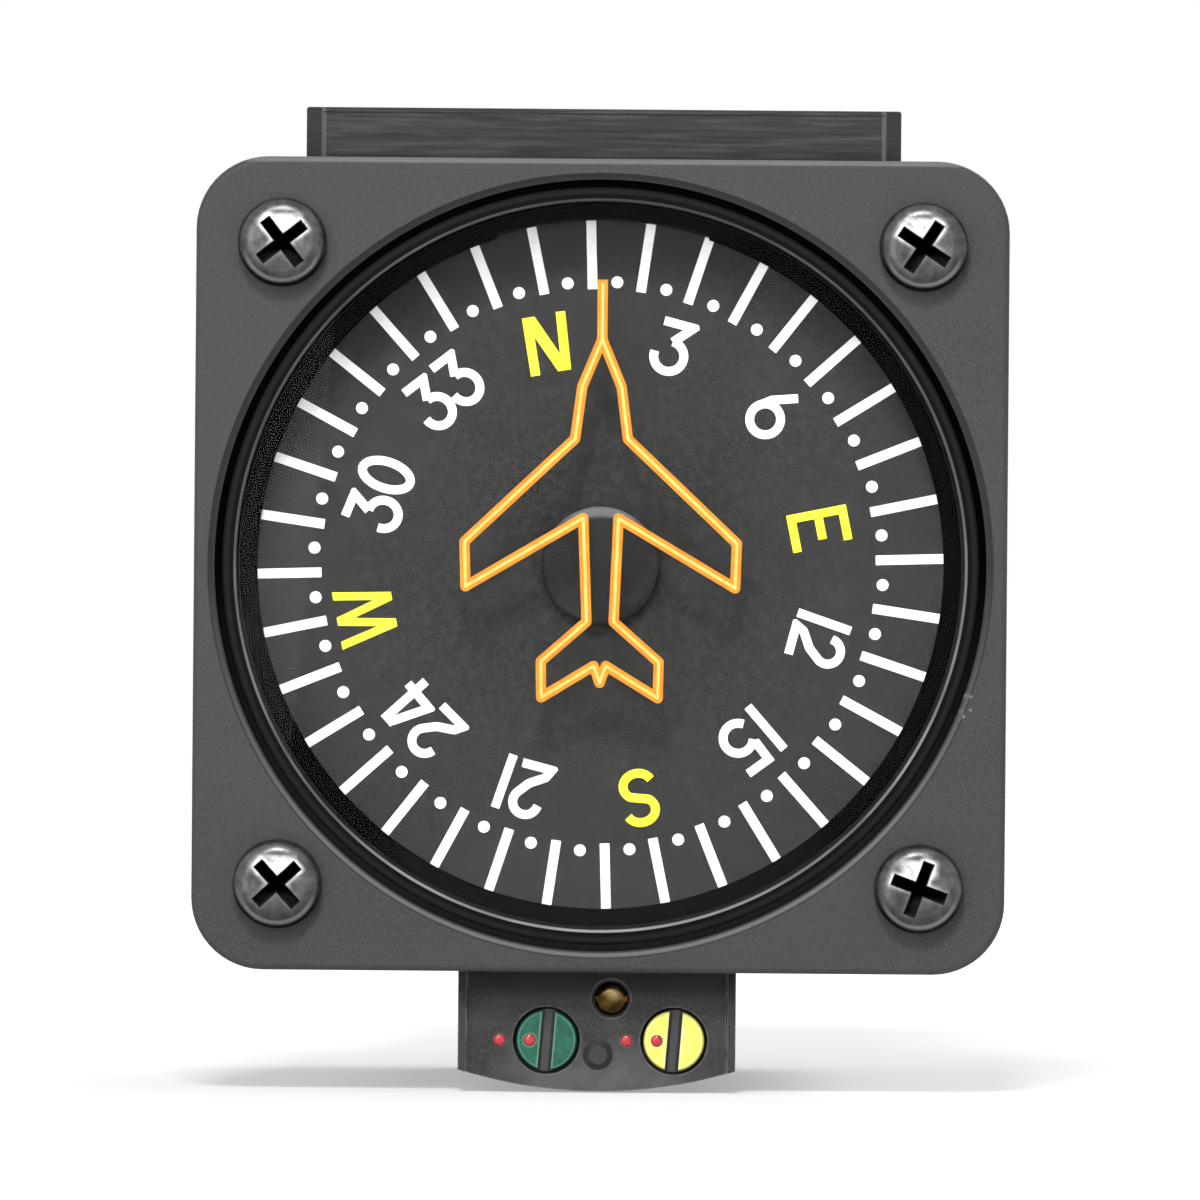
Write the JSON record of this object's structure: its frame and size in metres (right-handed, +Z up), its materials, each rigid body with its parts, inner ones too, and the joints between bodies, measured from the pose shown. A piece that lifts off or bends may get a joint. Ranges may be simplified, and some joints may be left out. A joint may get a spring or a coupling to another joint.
{
  "type": "panel-mounted vertical card compass",
  "caption": "Square-flanged panel compass: round dial turned by a magnet through bevel gears behind glass, fixed aircraft figure, lamp bay on top, compensator block below.",
  "frame": {"origin": "on the dial axis, in the plane of the flange's rear seat face, which is the panel's front face", "axes": "+Y back into the panel along the dial axis, +Z up, +X to the right for the pilot, who looks along +Y"},
  "size_m": [0.0598, 0.0641, 0.0725],
  "materials": {
    "case_plastic": "satin dark grey moulded plastic, fine texture",
    "ring_black": "satin black",
    "glass": "clear",
    "rubber": "soft black",
    "mask_black": "dull black",
    "figure_paint": "golden yellow paint with an orange edge",
    "cover_paint": "brushed dark grey",
    "black_screw": "black oxide",
    "steel": "bright machined",
    "brass": "turned",
    "acrylic": "clear moulded plastic",
    "lamp_glass": "clear",
    "insulator": "moulded phenolic",
    "wire": "red insulation",
    "aluminium": "machined",
    "dial_black": "matt charcoal",
    "magnet_alloy": "ground",
    "copper": "turned copper",
    "green_paint": "green enamel",
    "yellow_paint": "yellow enamel",
    "block_paint": "dark grey, worn"
  },
  "bodies": {
    "case": {"adjuster_washers": "steel", "bottom_jewel_screw": "brass", "card_front_bush": "brass", "card_rear_bush": "brass", "case_body": "case_plastic", "compensator_bearing_plate": "aluminium", "compensator_clamp_screw": "brass", "compensator_front_plate": "block_paint", "compensator_gear_plate": "aluminium", "compensator_housing": "block_paint", "compensator_posts": "steel", "compensator_rivet": "black_screw", "compensator_screws": "black_screw", "damping_cup": "copper", "dial_mask": "mask_black", "flange_screws": "black_screw", "front_glass": "glass", "glass_gasket": "rubber", "jewel_lock_nuts": "brass", "lamp_bulb": "lamp_glass", "lamp_leads": "wire", "lamp_socket": "insulator", "lamp_terminals": "brass", "light_guide": "acrylic", "lubber_aircraft": "figure_paint", "movement_frame": "aluminium", "movement_screws": "steel", "rear_cover": "case_plastic", "rear_cover_gasket": "rubber", "rear_cover_screws": "black_screw", "retaining_ring": "ring_black", "terminal_block": "insulator", "top_cover": "cover_paint", "top_cover_screws": "black_screw", "top_jewel_screw": "brass"},
    "dial": {"compass_card": "dial_black", "card_hub": "aluminium", "card_cap": "dial_black", "card_shaft": "steel", "card_gear": "brass"},
    "magnet": {"magnet_shaft": "steel", "magnet_gear": "brass", "compass_magnet": "magnet_alloy", "magnet_carrier": "brass"},
    "green_adjuster_unit": {"green_adjuster": "green_paint", "green_clip": "steel"},
    "green_front_unit": {"green_front_wheel": "brass", "green_front_magnet": "magnet_alloy"},
    "green_rear_unit": {"green_rear_wheel": "brass", "green_rear_magnet": "magnet_alloy"},
    "yellow_adjuster_unit": {"yellow_adjuster": "yellow_paint", "yellow_clip": "steel"},
    "yellow_front_unit": {"yellow_front_wheel": "brass", "yellow_front_magnet": "magnet_alloy"},
    "yellow_rear_unit": {"yellow_rear_wheel": "brass", "yellow_rear_magnet": "magnet_alloy"}
  },
  "joints": [
    {"name": "magnet_spin", "type": "hinge", "parent": "case", "child": "magnet", "pos_m": [0, 0.031, 0], "axis": [0, 0, 1], "continuous": true},
    {"name": "dial_spin", "type": "hinge", "parent": "case", "child": "dial", "pos_m": [0, 0, 0], "axis": [0, 1, 0], "continuous": true},
    {"name": "green_turn", "type": "hinge", "parent": "case", "child": "green_adjuster_unit", "pos_m": [-0.0037, 0, -0.03507], "axis": [0, 1, 0], "continuous": true},
    {"name": "green_front_spin", "type": "hinge", "parent": "case", "child": "green_front_unit", "pos_m": [-0.0037, 0.02754, -0.03507], "axis": [0, 0, 1], "continuous": true},
    {"name": "green_rear_spin", "type": "hinge", "parent": "case", "child": "green_rear_unit", "pos_m": [-0.0037, 0.03445, -0.03507], "axis": [0, 0, 1], "continuous": true},
    {"name": "yellow_turn", "type": "hinge", "parent": "case", "child": "yellow_adjuster_unit", "pos_m": [0.0057, 0, -0.03507], "axis": [0, 1, 0], "continuous": true},
    {"name": "yellow_front_spin", "type": "hinge", "parent": "case", "child": "yellow_front_unit", "pos_m": [0.0057, 0.02754, -0.03507], "axis": [0, 0, 1], "continuous": true},
    {"name": "yellow_rear_spin", "type": "hinge", "parent": "case", "child": "yellow_rear_unit", "pos_m": [0.0057, 0.03445, -0.03507], "axis": [0, 0, 1], "continuous": true}
  ],
  "couplings": [
    {"joint": "dial_spin", "follows": "magnet_spin", "ratio": -1},
    {"joint": "green_front_spin", "follows": "green_turn", "ratio": -0.5},
    {"joint": "green_rear_spin", "follows": "green_turn", "ratio": 0.5},
    {"joint": "yellow_front_spin", "follows": "yellow_turn", "ratio": -0.5},
    {"joint": "yellow_rear_spin", "follows": "yellow_turn", "ratio": 0.5}
  ]
}
